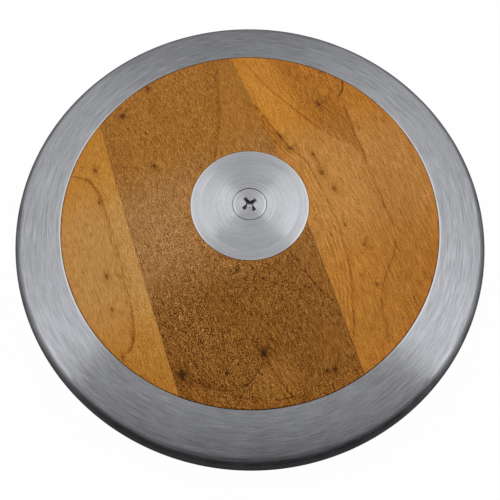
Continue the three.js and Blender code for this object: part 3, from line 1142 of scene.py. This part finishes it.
def make_floor():
    """Pale floor that keeps the object's shadow and can be looked through from below."""
    ends = (-FLOOR_REACH, FLOOR_REACH)
    corners = [(x, y, -HALF_THICKNESS) for y in ends for x in ends]
    floor = mesh_object("floor", corners, [(0, 1, 3, 2)])
    material, g, shader, place = new_material("pale_floor")
    shader.inputs["Base Color"].default_value = FLOOR_TONE
    shader.inputs["Roughness"].default_value = FLOOR_ROUGHNESS
    reflected = g.node("ShaderNodeLightPath").outputs["Is Glossy Ray"]
    ahead = g.vector("DOT_PRODUCT", place, (-math.sin(VIEW_TURN), math.cos(VIEW_TURN), 0.0))
    level = g.less(1.0, g.times(g.ease(ahead, *FLOOR_DIM), reflected))
    share = g.times(seen_directly(g), FLOOR_GLOW)
    lit = g.node("ShaderNodeMixShader", {0: share, 1: shader.outputs[0], 2: g.glow(level)})
    clear = g.node("ShaderNodeBsdfTransparent")
    below = g.node("ShaderNodeNewGeometry").outputs["Backfacing"]
    final = g.node("ShaderNodeMixShader", {0: below, 1: lit.outputs[0], 2: clear.outputs[0]})
    staged(floor, material, final.outputs[0])


def tent_level(g, x, y):
    """Brightness towards (x, y): a slanted soft box on each side, a faint band above, a dim front."""
    side = g.size(x)
    across = g.add(g.times(side, math.cos(BOX_SLANT)), g.times(y, math.sin(BOX_SLANT)))
    along = g.add(g.times(side, -math.sin(BOX_SLANT)), g.times(y, math.cos(BOX_SLANT)))
    box = g.times(g.edge(across, *BOX_INNER), g.edge(across, *BOX_OUTER))
    box = g.times(box, g.times(g.edge(along, *BOX_NEAR), g.edge(along, *BOX_FAR)))
    stronger = g.ease(x, *RIGHT_SIDE)
    spread = g.add(g.squared(x, BAND_WIDE), g.squared(g.less(y, BAND_PLACE), BAND_DEEP))
    band = g.times(g.math("EXPONENT", g.times(spread, -1.0)), BAND_LEVEL)
    level = g.add(TENT_BASE, band, g.times(g.times(box, stronger), BOX_LEVEL))
    return g.times(level, g.edge(y, *FRONT_EDGE, start=FRONT_SHARE))


def dome_ring(index):
    """One ring of the tent's points, from the crown down to the floor."""
    slope = math.pi / 2 * index / TENT_RINGS
    radius, height = TENT_RADIUS * math.sin(slope), TENT_RADIUS * math.cos(slope) - HALF_THICKNESS
    angles = [2 * math.pi * step / TENT_SEGMENTS for step in range(TENT_SEGMENTS)]
    return [(radius * math.cos(angle), radius * math.sin(angle), height) for angle in angles]


def make_tent():
    """White light tent with a dark panel from front to back, which only reflections see."""
    vertices = [point for index in range(TENT_RINGS + 1) for point in dome_ring(index)]
    faces = []
    for index in range(TENT_RINGS):
        upper, lower = index * TENT_SEGMENTS, (index + 1) * TENT_SEGMENTS
        for step in range(TENT_SEGMENTS):
            beyond = (step + 1) % TENT_SEGMENTS
            faces.append((upper + step, upper + beyond, lower + beyond, lower + step))
    tent = mesh_object("tent", vertices, faces)
    tent.rotation_euler.z = VIEW_TURN + TENT_TURN
    material, g, _, place = new_material("tent_cloth")
    direction_x, direction_y, _ = g.parts(g.vector("NORMALIZE", place))
    for kind in ("camera", "diffuse", "transmission", "volume_scatter", "shadow"):
        setattr(tent, f"visible_{kind}", False)
    staged(tent, material, g.glow(tent_level(g, direction_x, direction_y)))


def make_camera():
    """Camera at the photograph's view."""
    data = bpy.data.cameras.new("camera")
    data.sensor_width = SENSOR_WIDTH
    data.lens = LENS
    data.shift_x = SHIFT
    data.clip_start = NEAR_CLIP * MM
    camera = bpy.data.objects.new("camera", data)
    camera.location = EYE * MM
    camera.rotation_mode = "QUATERNION"
    aim = (TARGET - EYE).to_track_quat("-Z", "Y")
    camera.rotation_quaternion = aim @ Matrix.Rotation(ROLL, 3, "Z").to_quaternion()
    bpy.context.scene.collection.objects.link(camera)
    bpy.context.scene.camera = camera


# Finishes
rim_steel = turned_steel(
    "rim_steel", tint=(0.57, 0.578, 0.614), roughness=0.28, anisotropy=0.9, streak=(0.40, 11.0, 1.15),
    rings=(0.8, 0.14), swing=0.95, painted_light=rim_painted_light, burnished=shoulder_radius(),
)
plate_steel = turned_steel(
    "plate_steel", tint=(0.81, 0.82, 0.865), roughness=0.30, anisotropy=0.9, streak=(0.45, 30.0, 0.4),
    rings=(0.5, 0.7), swing=0.25, painted_light=plate_painted_highlight,
)
screw_steel = turned_steel(
    "screw_steel", tint=(0.745, 0.755, 0.80), roughness=0.31, anisotropy=0.75, streak=(0.45, 50.0, 0.4),
    rings=(0.5, 0.4), swing=0.0, painted_light=screw_painted_light,
)
hidden_steel = inner_steel()
WOOD_SLOTS = {"narrow": "honey_wood", "centre": "brown_wood", "wide": "tan_wood"}
WOOD_COLOURS = {"narrow": HONEY, "centre": BROWN, "wide": TAN}
FIBRE_RUNS = {"narrow": 3.2, "centre": 3.0, "wide": 5.5}
# Each board: seed, figure, knots, strength of the speckle, level of tone
WOODS = {
    ("upper", "narrow"): (1, narrow_figure, NARROW_KNOTS, 0.55, 0.62),
    ("upper", "centre"): (2, centre_figure, CENTRE_KNOTS, 1.05, 0.58),
    ("upper", "wide"): (3, wide_figure, WIDE_KNOTS, 0.75, 0.61),
    ("lower", "narrow"): (4, plain_figure, PLAIN_NARROW_KNOTS, 0.5, 0.60),
    ("lower", "centre"): (5, plain_figure, PLAIN_CENTRE_KNOTS, 1.1, 0.52),
    ("lower", "wide"): (6, plain_figure, PLAIN_WIDE_KNOTS, 0.5, 0.58),
}


def wood(side, key):
    """Varnished wood of one board."""
    seed, figure, knots, speckle, level = WOODS[side, key]
    name = f"{side}_{WOOD_SLOTS[key]}"
    return board_material(name, seed, WOOD_COLOURS[key], figure, knots, speckle, FIBRE_RUNS[key], level)


# The object
finished(make_rim(), "rim", rim_steel)
for side in ("upper", "lower"):
    for key, board in make_boards(side).items():
        finished(board, f"{side}_{key}_stave", wood(side, key))
    finished(make_plate(side), f"{side}_plate", plate_steel)
    finished(make_screw(side), f"{side}_screw", screw_steel)

for name in ("core_sleeve", "upper_trim_washer", "lower_trim_washer", *PIN_NODES):
    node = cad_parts[name]
    node.data.materials.clear()
    node.data.materials.append(hidden_steel)

make_world()
make_floor()
make_tent()
area_light("left_softbox", Vector((-LAMP_PLACE.x, LAMP_PLACE.y, LAMP_PLACE.z)))
area_light("right_softbox", LAMP_PLACE)
make_camera()
bpy.context.scene.view_settings.view_transform = "Standard"
